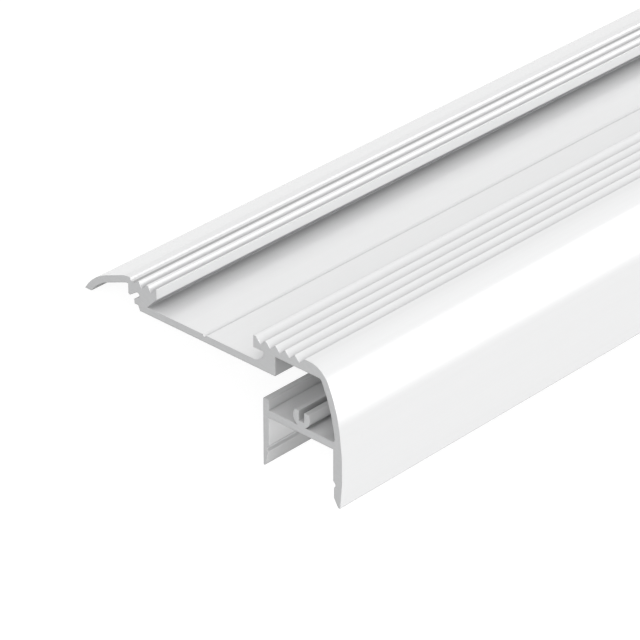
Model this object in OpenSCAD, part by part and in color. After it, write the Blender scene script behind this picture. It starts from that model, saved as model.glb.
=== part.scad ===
// Aluminium stair nosing, extruded in one piece.
// The section is drawn level, as it sits on a step: y runs to the back from the riser face, z up from the tread.
// The finished profile lies tilted, as it comes to rest on a floor: on its flange and on its back lip.

/* [Stock] */
// Length of the cut profile
length = 1000; // [100:10:3000]

/* [Tread plate] */
// Thickness of the plate on the tread
plate_t = 1.5; // [1:0.1:2.5]
// Reach of the plate in front of the riser face
plate_front = 3; // [2:0.1:5]
// Width of the marking groove for the screw holes
mark_w = 0.9; // [0.4:0.1:1.6]
// Depth of the marking groove
mark_d = 0.5; // [0.2:0.1:0.8]

/* [Insert recess] */
// Clear width between the two lips
recess_w = 24.6; // [15:0.1:60]
// Height of the gap under the lips
recess_h = 2.5; // [1.5:0.1:4]
// Reach of the front lip behind the riser face
front_lip = 2.3; // [1.5:0.1:5]

/* [Ribs] */
// Height of the front strip above the tread
front_h = 6.4; // [5.8:0.1:9]
// Height of the back strip above the tread
back_h = 6.1; // [5.8:0.1:9]
// Pitch of the ribs
rib_pitch = 2.38; // [1.8:0.01:3]
// Grooves in the front strip
front_grooves = 5; // [1:1:5]
// Depth of the grooves in the front strip
front_groove_d = 1.2; // [0.4:0.05:1.3]
// Land between the recess and the first front groove
front_land = 0.6; // [0.2:0.05:1]
// Full grooves in the back strip
back_grooves = 2; // [1:1:4]
// Depth of the full grooves in the back strip
back_groove_d = 1.25; // [0.3:0.05:1.3]
// Depth of the last groove, beside the back lip
last_groove_d = 0.55; // [0.2:0.05:0.7]
// Land on each back rib
back_land = 0.45; // [0.05:0.05:0.6]

/* [Back lip] */
// Thickness of the springy lip
lip_t = 1.4; // [1:0.05:2]
// Outer radius where the lip leaves the back strip
lip_top_r = 4; // [2.5:0.1:6]
// Slope of the straight run, in degrees
lip_slope = 21.4; // [10:0.1:30]
// Length of the straight run
lip_run = 5; // [2:0.1:15]
// Outer radius of the bend to the tread
lip_bend_r = 11.3; // [9:0.1:14]
// Distance that the relaxed lip reaches below the tread
lip_dip = 0.66; // [0.1:0.01:1.5]

/* [Clip groove] */
// Width of the slanted groove behind the back strip
clip_w = 1; // [0.6:0.05:1.3]
// Slope of the groove, in degrees
clip_slope = 33; // [20:1:45]

/* [Nosing front] */
// Height that the nosing hangs below the tread
nose_drop = 21.1; // [19:0.1:30]
// Thickness of the curved wall above the light channel
nose_wall = 1.45; // [1:0.05:2]
// Radius of the upper front edge
edge_r = 4.9; // [2.5:0.1:5.5]
// Radius of the upper front face
upper_r = 30; // [24:0.5:40]
// Depth below the tread where the upper front face ends
upper_end = 4.6; // [3:0.1:6]
// Radius of the lower front face
lower_r = 55; // [45:1:90]
// Height of the foremost line above the tip of the nosing
bulge_h = 7.3; // [6:0.1:9]

/* [Light channel] */
// Clear width of the channel
channel_w = 15.85; // [12:0.05:24]
// Depth of the channel's roof below the tread
roof_z = 9.3; // [8.5:0.1:11]
// Thickness of the roof
roof_t = 1.45; // [1:0.05:2]
// Thickness of the flange on the riser
flange_t = 1.35; // [1:0.05:2]
// Gap for the cable between the tread and the flange
cable_gap = 5.7; // [4:0.1:7]
// Distance that the flange stays short of the tip of the nosing
flange_short = 1.3; // [0.5:0.1:3]
// Thickness of the front leg at its foremost line
leg_t = 2.15; // [1.6:0.05:3]
// Height of the front leg's snap notch above the tip of the nosing
leg_notch_h = 5.2; // [4.5:0.1:8]
// Height of the flange's snap notch above the tip of the nosing
flange_notch_h = 5.8; // [5:0.1:8]
// Depth of the snap notches
notch_d = 0.55; // [0.2:0.05:0.7]
// Step of the channel walls below the notches
notch_step = 0.2; // [0.05:0.05:0.4]

/* [Screw port] */
// Outside diameter of the port
port_d = 4.1; // [3:0.1:5]
// Height of its prongs above the roof
port_h = 3.05; // [2.5:0.05:3.5]
// Width of its slot
port_slot = 1.35; // [0.8:0.05:2]
// Height of the slot's floor above the roof
port_floor = 1; // [0.3:0.05:1.5]
// Distance of its middle in front of the riser face
port_y = 9.4; // [7:0.1:12]

/* [Hidden] */
$fn = 180;
// Beyond every outline
far = 200;
// Tangent curves pass each other by a hair, so that they meet in one clean edge
lap = 0.001;
// Fillets inside the cable chamber
inner_r = 0.7;
// Flat tips of the front leg and of the flange
leg_tip_w = 0.45;
flange_tip_w = 0.3;
// Height of the chamfer behind the leg's tip
tip_h = 1.7;
// Upright stretch of a snap notch, between its two slopes
notch_flat = 0.33;
// Land in front of the first back groove
first_land = 0.24;
// Run of the steep side of a back groove, for each unit of depth
groove_lean = 0.55;
// Depth that the port's round side sinks into the roof
port_sink = 0.2;
// Clip groove: its round end from the strip's back and top
clip_in = 2.4;
clip_down = 2.95;
// Nub under the clip groove: place from the strip's back, reach, lower and upper level, chamfer
nub_in = 1.53;
nub_reach = 1.02;
nub_low = 1.05;
nub_high = 1.8;
nub_chamfer = 0.05;
// Slant of the plate's back end
plate_slant = 0.4;

// Levels, up from the tread
under_z = plate_t + recess_h;
roof_top = roof_t - roof_z;
bulge_z = bulge_h - nose_drop;
flange_z = flange_short - nose_drop;

// Depths, to the back from the riser face
nose_y = -(flange_t + channel_w + leg_t);
leg_y = nose_y + leg_t;
back_y = front_lip + recess_w;
undercut_y = back_y + recess_h;
mark_y = front_lip + recess_w / 2;

// Front face: three arcs, each inside the last and tangent to it
lower_c = [nose_y + lower_r, bulge_z];
upper_a = asin((-upper_end - bulge_z) / lower_r);
upper_c = lower_c + (lower_r - upper_r) * [-cos(upper_a), sin(upper_a)];
edge_c = tangent_c(upper_c, upper_r - edge_r, front_h - edge_r);
chamber_c = tangent_c(upper_c, upper_r - nose_wall - inner_r, under_z - inner_r);
chamber_low_c = tangent_c(lower_c, lower_r - nose_wall - inner_r, roof_top + inner_r);

// Back strip: grooves with a steep side behind and a side at 45 degrees in front
groove_count = back_grooves + 1;
groove_start = back_y + first_land;
strip_end = groove_start + groove_count * rib_pitch;
clip_c = [strip_end - clip_in, back_h - clip_down];
nub_y = strip_end - nub_in;
plate_end = nub_y - nub_reach;
plate_back = plate_end - plate_slant;

// Back lip: rounded top, straight run and bend
lip_top_c = [strip_end, back_h - lip_top_r];
lip_out = [sin(lip_slope), cos(lip_slope)];
lip_along = [cos(lip_slope), -sin(lip_slope)];
lip_bend_c = lip_top_c + (lip_top_r - lip_bend_r) * lip_out + lip_run * lip_along;
lip_end = [lip_bend_c.x + side(lip_bend_r, lip_dip + lip_bend_c.y), -lip_dip];

// Rest: the lip's lower edge and the flange, or the nosing's tip, touch the floor
flange_foot = [0, flange_z];
nose_foot = [lower_c.x - side(lower_r, bulge_h), -nose_drop];
tilt = max(slope_to_lip(flange_foot), slope_to_lip(nose_foot));
floor_z = lip_end.y * cos(tilt) - lip_end.x * sin(tilt);
middle_y = (along_floor(lip_end) + along_floor(nose_foot)) / 2;

// Side of a right triangle, from its long side and its other side
function side(long, other) = sqrt(long * long - other * other);
// Centre at level z of a circle that touches the front of a larger one from inside
function tangent_c(c, reach, z) = [c.x - side(reach, z - c.y), z];
// Direction from one centre to another, as seen from the back
function rise(from, to) = atan2(to.y - from.y, from.x - to.x);
function slope_to_lip(foot) = atan2(lip_end.y - foot.y, lip_end.x - foot.x);
function along_floor(p) = p.x * cos(tilt) + p.y * sin(tilt);

// Snap notch in a channel wall: u is -1 where the wall lies in front of the channel and 1 behind it
function snap_notch(wall_y, top_z, u) = [
    [wall_y, top_z],
    [wall_y + u * notch_d, top_z - notch_d],
    [wall_y + u * notch_d, top_z - notch_d - notch_flat],
    [wall_y + u * notch_step, top_z - 2 * notch_d - notch_flat]
];

// Rectangle between two corners
module block(low, high) {
    translate(low)
        square(high - low);
}

module disc(c, r) {
    translate(c)
        circle(r);
}

// All that lies behind the front face, moved in by a wall's thickness, with a rounded upper corner
module behind_front(inset, corner_c, corner_r) {
    upper_z = upper_c.y + (upper_r - inset) * sin(rise(upper_c, corner_c));
    lower_z = lower_c.y + (lower_r - inset) * sin(upper_a);
    intersection() {
        disc(lower_c, lower_r - inset);
        block([-far, -far], [far, lower_z]);
    }
    intersection() {
        disc(upper_c, upper_r - inset + lap);
        block([-far, -far], [far, upper_z]);
    }
    disc(corner_c, corner_r + 2 * lap);
    block([corner_c.x, -far], corner_c + [far, corner_r]);
}

// Room for the cable over the light channel, open to the step below the plate
module cable_chamber() {
    low_z = lower_c.y + (lower_r - nose_wall) * sin(rise(lower_c, chamber_low_c));
    intersection() {
        behind_front(nose_wall, chamber_c, inner_r);
        block([-far, low_z], [-plate_front, far]);
    }
    disc(chamber_low_c, inner_r + lap);
    block([chamber_low_c.x, roof_top], [-flange_t, chamber_low_c.y + inner_r]);
    block([-plate_front - inner_r, roof_top], [-flange_t, 0]);
    block([-plate_front - inner_r, -cable_gap], [far, 0]);
}

// Channel that takes a light strip, with notches for its cover
module light_channel() {
    leg_tip_y = nose_foot.x + leg_tip_w;
    flange_notch = snap_notch(-flange_t, flange_notch_h - nose_drop, 1);
    polygon(concat(
        [[leg_y, -roof_z]],
        snap_notch(leg_y, leg_notch_h - nose_drop, -1),
        [[leg_y - notch_step, tip_h - nose_drop], [leg_tip_y, -nose_drop], [leg_tip_y, -far]],
        [[-flange_tip_w, -far], [-flange_tip_w, flange_z]],
        [for (i = [3:-1:0]) flange_notch[i]],
        [[-flange_t, -roof_z]]
    ));
}

// Space under the front lip, with a hollow corner as high as the gap
module lip_gap() {
    intersection() {
        disc([front_lip, under_z], recess_h);
        block([-far, -far], [far, under_z]);
    }
}

// Nosing, ribbed strip, light channel and flange
module front_part() {
    difference() {
        intersection() {
            behind_front(0, edge_c, edge_r);
            block([-far, -nose_drop], [front_lip, front_h]);
        }
        cable_chamber();
        light_channel();
        lip_gap();
        block([0, -far], [far, 0]);
        block([-flange_t, -far], [far, flange_z]);
        for (i = [0:front_grooves - 1]) {
            groove_y = front_lip - front_land - (i + 0.5) * rib_pitch;
            polygon([[groove_y - front_groove_d, front_h], [groove_y, front_h - front_groove_d],
                     [groove_y + front_groove_d, front_h]]);
        }
    }
}

// Plate on the tread, with a groove that guides the drill
module tread_plate() {
    difference() {
        block([-plate_front, 0], [plate_back, plate_t]);
        polygon([[mark_y - mark_w / 2, plate_t], [mark_y, plate_t - mark_d], [mark_y + mark_w / 2, plate_t]]);
    }
}

// Open port on the roof for the screws of an end cap
module screw_port() {
    c = [-port_y, roof_top + port_d / 2 - port_sink];
    difference() {
        intersection() {
            disc(c, port_d / 2);
            block([-far, -far], [far, roof_top + port_h]);
        }
        block([c.x - port_slot / 2, roof_top + port_floor], [c.x + port_slot / 2, far]);
    }
}

// Raised strip behind the recess, undercut at 45 degrees, with the clip groove in its back
module back_strip() {
    difference() {
        polygon([[undercut_y, 0], [plate_back, 0], [plate_end, nub_low], [nub_y - nub_chamfer, nub_low],
                 [nub_y, nub_high], [strip_end, clip_c.y - clip_w / 2], [strip_end, back_h], [back_y, back_h],
                 [back_y, under_z], [undercut_y, plate_t]]);
        for (i = [0:groove_count - 1]) {
            d = i < back_grooves ? back_groove_d : last_groove_d;
            y = groove_start + i * rib_pitch;
            end_y = y + rib_pitch - back_land;
            low_y = end_y - groove_lean * d;
            polygon(concat(
                [[y, back_h]],
                y + d < low_y ? [[y + d, back_h - d]] : [],
                [[low_y, back_h - d], [end_y, back_h]]
            ));
        }
        disc(clip_c, clip_w / 2);
        translate(clip_c)
            rotate(-clip_slope)
                block([0, lap - clip_w / 2], [far, clip_w / 2 - lap]);
    }
}

// All that lies under the lip's outer face, moved in by the lip's thickness
module under_lip(inset) {
    top_r = lip_top_r - inset;
    bend_r = lip_bend_r - inset;
    disc(lip_top_c, top_r);
    disc(lip_bend_c, bend_r);
    polygon([lip_bend_c, lip_bend_c + (bend_r - lap) * lip_out, lip_top_c + (top_r - lap) * lip_out, lip_top_c]);
}

// Springy lip that bends down to the tread behind the strip
module back_lip() {
    intersection() {
        difference() {
            under_lip(0);
            under_lip(lip_t);
        }
        block([strip_end - back_land, -lip_dip], [far, far]);
    }
}

module section() {
    front_part();
    tread_plate();
    screw_port();
    back_strip();
    back_lip();
}

module stair_nosing() {
    color("gainsboro")
        translate([-length / 2, -middle_y, -floor_z])
            rotate([-tilt, 0, 0])
                rotate([90, 0, 90])
                    linear_extrude(length)
                        section();
}

stair_nosing();
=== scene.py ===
import math

import bpy
from mathutils import Matrix, Vector

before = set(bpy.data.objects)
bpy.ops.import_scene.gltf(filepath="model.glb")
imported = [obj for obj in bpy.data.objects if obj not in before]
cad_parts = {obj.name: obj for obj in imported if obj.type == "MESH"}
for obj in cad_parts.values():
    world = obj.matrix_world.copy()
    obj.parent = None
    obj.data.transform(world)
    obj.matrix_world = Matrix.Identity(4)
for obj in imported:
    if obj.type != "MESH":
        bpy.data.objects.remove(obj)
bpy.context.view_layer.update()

# Lengths are in metres. The profile lies tilted about X, as it rests on a floor.
# Level places and directions are those of the profile as it sits on a step.
TILT = math.radians(22.6213)
COS, SIN = math.cos(TILT), math.sin(TILT)
MIDDLE_Y = 0.00830859
FLOOR_Z = -0.0182767

# Camera, in level places and directions
CAMERA_AT = (-0.8970, -0.38515, 0.3294)
CAMERA_RIGHT = (0.6830, -0.7305, 0)
CAMERA_UP = (0.3650, 0.3412, 0.8662)
SENSOR_WIDTH = 36
LENS = 202.57
CLIP_START, CLIP_END = 0.01, 50

# Colours of the drawn metal, of its cut ends, and of the painted shade in its corners and in the groove
# beside the back lip
DRAWN_DARK = (0.85, 0.852, 0.856, 1)
DRAWN_LIGHT = (0.87, 0.872, 0.876, 1)
BAND = (0.885, 0.886, 0.889, 1)
# Cut ends: their own sawn tone, darkened further as painted shade of the ends that face away from the
# light
SAWN_SHADED_DARK = (0.54, 0.544, 0.549, 1)
SAWN_SHADED_LIGHT = (0.594, 0.597, 0.602, 1)
# Painted shade, put into the colour of the narrow corners
CORNER_SHADE = (0.56, 0.562, 0.566, 1)
# Painted shade on the floor of the groove beside the back lip
GROOVE_SHADE = (0.43, 0.43, 0.43, 1)
METALLIC = 0.4
DRAWN_ROUGHNESS = (0.23, 0.25)
SAWN_ROUGHNESS = (0.4, 0.55)

# Texture: noise cells for each metre along X, Y and Z
DIE_LINES = (3, 2600, 2600)
DIE_BANDS = (0.8, 420, 420)
SAW_MARKS = (1, 900, 5200)
GRAIN = 5200
# Levels of noise between which a mix runs from one end to the other
TINT_SPAN = (0.3, 0.7)
BAND_SPAN = (0.35, 0.65)
ROUGHNESS_SPAN = (0.25, 0.75)
BAND_SHARE = 0.35
# Fine relief, and the rounding of the edges
LINE_RELIEF, GRAIN_RELIEF = 0.7, 0.3
RELIEF_STRENGTH = 0.25
RELIEF_HEIGHT = 0.00002
EDGE_RADIUS = 0.0003
EDGE_SAMPLES = 6

# Cut ends face along X by at least this much
CUT_FACING = (0.8, 0.95)
# How far around a point its wide and its tight corners are felt, and the openness from full painted
# shade to none
WIDE_CORNER = 0.0055
WIDE_SPAN = (0.1, 0.8)
TIGHT_CORNER = 0.0011
TIGHT_SPAN = (0.38, 0.8)
AO_SAMPLES = 8
# Painted shade lies on the floor of the groove beside the back lip: each limit fades from the first to
# the second value
GROOVE_FRONT = (0.03166, 0.03176)
GROOVE_BACK = (0.033, 0.0332)
GROOVE_FLOOR = (0.0052, 0.0054)

# Edges of the section that are sharper than this stay crisp
SHARP = math.radians(20)
JOIN_DISTANCE = 2e-6
FLATS_WEIGHT = 100

# Floor: half its width, its colour for bounced light and for sight, and its level as the camera sees it
FLOOR_HALF = 12.0
FLOOR_BOUNCE = (0.3, 0.3, 0.3, 1)
FLOOR_SEEN = (0.2, 0.2, 0.2, 1)
FLOOR_LEVEL = 0.9
# As the metal shows it: bright near the profile, dimmer far from it, and dark under it
POOL_SPAN = (0.05, 0.4)
POOL_LEVEL = (0.84, 0.54)
SHADOW_REACH = 0.03
SHADOW_SPAN = (0.1, 0.5)
SHADOW_LEVEL = 0.2

WHITE = (1, 1, 1, 1)
# Sky level towards -X and towards +X
SKY = (0.62, 1.02)
# Name, place, aim, width and height, power
SOFTBOXES = (
    ("front_box", (1.2, -1.6, 0.86), (-0.3, 0, 0.1), (3.0, 1.4), 15),
    ("end_box", (-1.7, -0.35, 0.9), (-0.5, 0, 0.01), (1.6, 0.8), 10),
)


def turned(v):
    """A level direction, as it points with the profile tilted."""
    x, y, z = v
    return Vector((x, y * COS + z * SIN, z * COS - y * SIN))


def placed(v):
    """A level place, as it lies with the profile on the floor."""
    return turned(v) - Vector((0, MIDDLE_Y, FLOOR_Z))


class Nodes:
    """Short way to wire a node tree."""

    def __init__(self, tree):
        self.tree = tree
        tree.nodes.clear()

    def add(self, kind, settings=None, **inputs):
        node = self.tree.nodes.new(kind)
        for key, value in (settings or {}).items():
            setattr(node, key, value)
        for key, value in inputs.items():
            self.put(node, key.replace("_", " "), value)
        return node

    def put(self, node, key, value):
        socket = node.inputs[int(key)] if key.isdigit() else node.inputs[key]
        if isinstance(value, bpy.types.NodeSocket):
            self.tree.links.new(value, socket)
        else:
            socket.default_value = value

    def math(self, op, a, b=0.0):
        node = self.add("ShaderNodeMath", {"operation": op})
        self.put(node, "0", a)
        self.put(node, "1", b)
        return node.outputs[0]

    def ramp(self, value, low, high, to_low=0.0, to_high=1.0):
        node = self.add("ShaderNodeMapRange", {"clamp": True}, Value=value)
        self.put(node, "From Min", low)
        self.put(node, "From Max", high)
        self.put(node, "To Min", to_low)
        self.put(node, "To Max", to_high)
        return node.outputs["Result"]

    def mix(self, share, a, b):
        """Mix of two colours."""
        node = self.add("ShaderNodeMix", {"data_type": "RGBA"})
        self.put(node, "0", share)
        self.put(node, "6", a)
        self.put(node, "7", b)
        return node.outputs[2]

    def blend(self, share, a, b):
        """Mix of two numbers."""
        node = self.add("ShaderNodeMix", {"data_type": "FLOAT"})
        self.put(node, "0", share)
        self.put(node, "2", a)
        self.put(node, "3", b)
        return node.outputs[0]

    def stretched(self, vector, scale):
        node = self.add("ShaderNodeVectorMath", {"operation": "MULTIPLY"})
        self.put(node, "0", vector)
        self.put(node, "1", scale)
        return node.outputs[0]

    def along(self, vector, direction, shift):
        """Distance of a place along a direction, plus a shift."""
        node = self.add("ShaderNodeVectorMath", {"operation": "DOT_PRODUCT"})
        self.put(node, "0", vector)
        self.put(node, "1", direction)
        return self.math("ADD", node.outputs["Value"], shift)

    def split(self, vector):
        return self.add("ShaderNodeSeparateXYZ", Vector=vector).outputs

    def noise(self, vector, scale=1.0, detail=2.0, rough=0.5):
        node = self.add("ShaderNodeTexNoise", Vector=vector, Scale=scale, Detail=detail, Roughness=rough)
        return node.outputs["Fac"]

    def openness(self, distance):
        """1 where nothing is near, less in corners."""
        node = self.add("ShaderNodeAmbientOcclusion", {"samples": AO_SAMPLES}, Distance=distance)
        return node.outputs["AO"]


def anodised_aluminium():
    mat = bpy.data.materials.new("anodised_aluminium")
    mat.use_nodes = True
    n = Nodes(mat.node_tree)
    place = n.add("ShaderNodeTexCoord").outputs["Object"]
    normal = n.add("ShaderNodeNewGeometry").outputs["Normal"]
    cut = n.ramp(n.math("ABSOLUTE", n.split(normal)["X"]), *CUT_FACING)

    # Lines of the die run along the length
    lines = n.noise(n.stretched(place, DIE_LINES), detail=3.0, rough=0.6)
    bands = n.noise(n.stretched(place, DIE_BANDS))
    grain = n.noise(place, scale=GRAIN)
    # Marks of the saw run across the cut ends
    saw = n.noise(n.stretched(place, SAW_MARKS), detail=3.0, rough=0.6)

    drawn = n.mix(n.ramp(lines, *TINT_SPAN), DRAWN_DARK, DRAWN_LIGHT)
    drawn = n.mix(n.ramp(bands, *BAND_SPAN, to_high=BAND_SHARE), drawn, BAND)
    # The cut ends carry saw marks, and their darker tone is partly painted shade
    sawn_shaded = n.mix(n.ramp(saw, *TINT_SPAN), SAWN_SHADED_DARK, SAWN_SHADED_LIGHT)
    # Painted shade: the colour darkens in the narrow corners, where shade falls
    wide = n.ramp(n.openness(WIDE_CORNER), *WIDE_SPAN)
    tight = n.ramp(n.openness(TIGHT_CORNER), *TIGHT_SPAN)
    drawn = n.mix(n.math("MINIMUM", wide, tight), CORNER_SHADE, drawn)
    # Painted shade also darkens the floor of the shallow groove beside the back lip
    depth = n.along(place, (0, COS, -SIN), MIDDLE_Y * COS - FLOOR_Z * SIN)
    height = n.along(place, (0, SIN, COS), MIDDLE_Y * SIN + FLOOR_Z * COS)
    behind_front = n.ramp(depth, *GROOVE_FRONT)
    before_back = n.ramp(depth, *GROOVE_BACK, to_low=1.0, to_high=0.0)
    in_groove = n.math("MULTIPLY", behind_front, before_back)
    in_groove = n.math("MULTIPLY", in_groove, n.ramp(height, *GROOVE_FLOOR))
    drawn = n.mix(in_groove, drawn, GROOVE_SHADE)
    colour = n.mix(cut, drawn, sawn_shaded)

    rough_drawn = n.ramp(lines, *ROUGHNESS_SPAN, *DRAWN_ROUGHNESS)
    rough_sawn = n.ramp(saw, *ROUGHNESS_SPAN, *SAWN_ROUGHNESS)
    rough = n.blend(cut, rough_drawn, rough_sawn)

    fine_lines = n.math("MULTIPLY", lines, LINE_RELIEF)
    fine_grain = n.math("MULTIPLY", grain, GRAIN_RELIEF)
    relief = n.blend(cut, n.math("ADD", fine_lines, fine_grain), saw)
    # The edges of the section are slightly rounded
    rounded = n.add("ShaderNodeBevel", {"samples": EDGE_SAMPLES}, Radius=EDGE_RADIUS)
    bump = n.add("ShaderNodeBump", Strength=RELIEF_STRENGTH, Distance=RELIEF_HEIGHT)
    n.put(bump, "Height", relief)
    n.put(bump, "Normal", rounded.outputs["Normal"])

    shader = n.add("ShaderNodeBsdfPrincipled", Metallic=METALLIC, Roughness=rough)
    n.put(shader, "Base Color", colour)
    n.put(shader, "Normal", bump.outputs["Normal"])
    n.add("ShaderNodeOutputMaterial", Surface=shader.outputs["BSDF"])
    return mat


def white_floor():
    mat = bpy.data.materials.new("white_floor")
    mat.use_nodes = True
    n = Nodes(mat.node_tree)
    path = n.add("ShaderNodeLightPath").outputs
    seen = n.math("MAXIMUM", path["Is Camera Ray"], path["Is Glossy Ray"])
    diffuse = n.add("ShaderNodeBsdfDiffuse", Color=n.mix(seen, FLOOR_BOUNCE, FLOOR_SEEN))
    # Under the profile, the floor that the metal shows lies in its shadow
    lit = n.ramp(n.openness(SHADOW_REACH), *SHADOW_SPAN, to_low=SHADOW_LEVEL)
    # and far from it the light falls off
    spot = n.add("ShaderNodeNewGeometry").outputs["Position"]
    pool = n.ramp(n.math("ABSOLUTE", n.split(spot)["Y"]), *POOL_SPAN, *POOL_LEVEL)
    shown = n.math("MULTIPLY", path["Is Glossy Ray"], n.math("MULTIPLY", pool, lit))
    level = n.math("ADD", n.math("MULTIPLY", path["Is Camera Ray"], FLOOR_LEVEL), shown)
    glow = n.add("ShaderNodeEmission", Color=WHITE, Strength=level)
    both = n.add("ShaderNodeAddShader")
    n.put(both, "0", diffuse.outputs[0])
    n.put(both, "1", glow.outputs[0])
    n.add("ShaderNodeOutputMaterial", Surface=both.outputs[0])
    return mat


def smooth_curves(piece):
    """Shade the arcs of the section as smooth curves, and keep its flats and edges crisp."""
    group = bpy.data.node_groups.new("smooth_curves", "GeometryNodeTree")
    for way in ("INPUT", "OUTPUT"):
        group.interface.new_socket("Geometry", in_out=way, socket_type="NodeSocketGeometry")
    n = Nodes(group)
    start = n.add("NodeGroupInput").outputs[0]
    plain = n.add("GeometryNodeRemoveAttribute", Geometry=start, Name="custom_normal").outputs[0]
    joined = n.add("GeometryNodeMergeByDistance", Geometry=plain, Distance=JOIN_DISTANCE).outputs[0]
    faces = n.add("GeometryNodeSetShadeSmooth", {"domain": "FACE"}, Geometry=joined).outputs[0]
    angle = n.add("GeometryNodeInputMeshEdgeAngle").outputs["Unsigned Angle"]
    less = {"data_type": "FLOAT", "operation": "LESS_THAN"}
    blunt = n.add("FunctionNodeCompare", less, A=angle, B=SHARP)
    edges = n.add("GeometryNodeSetShadeSmooth", {"domain": "EDGE"}, Geometry=faces)
    n.put(edges, "Shade Smooth", blunt.outputs[0])
    n.put(n.add("NodeGroupOutput"), "0", edges.outputs[0])
    piece.modifiers.new("smooth_curves", "NODES").node_group = group
    flats = piece.modifiers.new("flats", "WEIGHTED_NORMAL")
    flats.keep_sharp = True
    flats.weight = FLATS_WEIGHT


def add_object(name, data):
    thing = bpy.data.objects.new(name, data)
    bpy.context.scene.collection.objects.link(thing)
    return thing


def softbox(name, where, aim, size, power):
    data = bpy.data.lights.new(name, "AREA")
    data.shape = "RECTANGLE"
    data.size, data.size_y = size
    data.energy = power
    start = Vector(where)
    facing = (Vector(aim) - start).to_track_quat("-Z", "Y").to_matrix().to_4x4()
    add_object(name, data).matrix_world = Matrix.Translation(start) @ facing


# Camera
cam_data = bpy.data.cameras.new("camera")
cam_data.sensor_width = SENSOR_WIDTH
cam_data.lens = LENS
cam_data.clip_start = CLIP_START
cam_data.clip_end = CLIP_END
camera = add_object("camera", cam_data)
right = turned(CAMERA_RIGHT)
up = turned(CAMERA_UP)
facing = Matrix((right, up, right.cross(up))).transposed().to_4x4()
camera.matrix_world = Matrix.Translation(placed(CAMERA_AT)) @ facing
bpy.context.scene.camera = camera

# Profile
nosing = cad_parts["stair_nosing"]
for slot in nosing.material_slots:
    slot.material = anodised_aluminium()
smooth_curves(nosing)

# Floor
floor_mesh = bpy.data.meshes.new("floor")
corners = [(x * FLOOR_HALF, y * FLOOR_HALF, 0) for x, y in ((-1, -1), (1, -1), (1, 1), (-1, 1))]
floor_mesh.from_pydata(corners, [], [(0, 1, 2, 3)])
floor_mesh.materials.append(white_floor())
floor = add_object("floor", floor_mesh)

# Soft light
for row in SOFTBOXES:
    softbox(*row)
world = bpy.data.worlds.new("studio")
world.use_nodes = True
sky_nodes = Nodes(world.node_tree)
sky_way = sky_nodes.add("ShaderNodeTexCoord").outputs["Generated"]
strength = sky_nodes.ramp(sky_nodes.split(sky_way)["X"], -1.0, 1.0, *SKY)
sky = sky_nodes.add("ShaderNodeBackground", Color=WHITE, Strength=strength)
sky_nodes.add("ShaderNodeOutputWorld", Surface=sky.outputs[0])
bpy.context.scene.world = world

bpy.context.scene.view_settings.view_transform = "Standard"
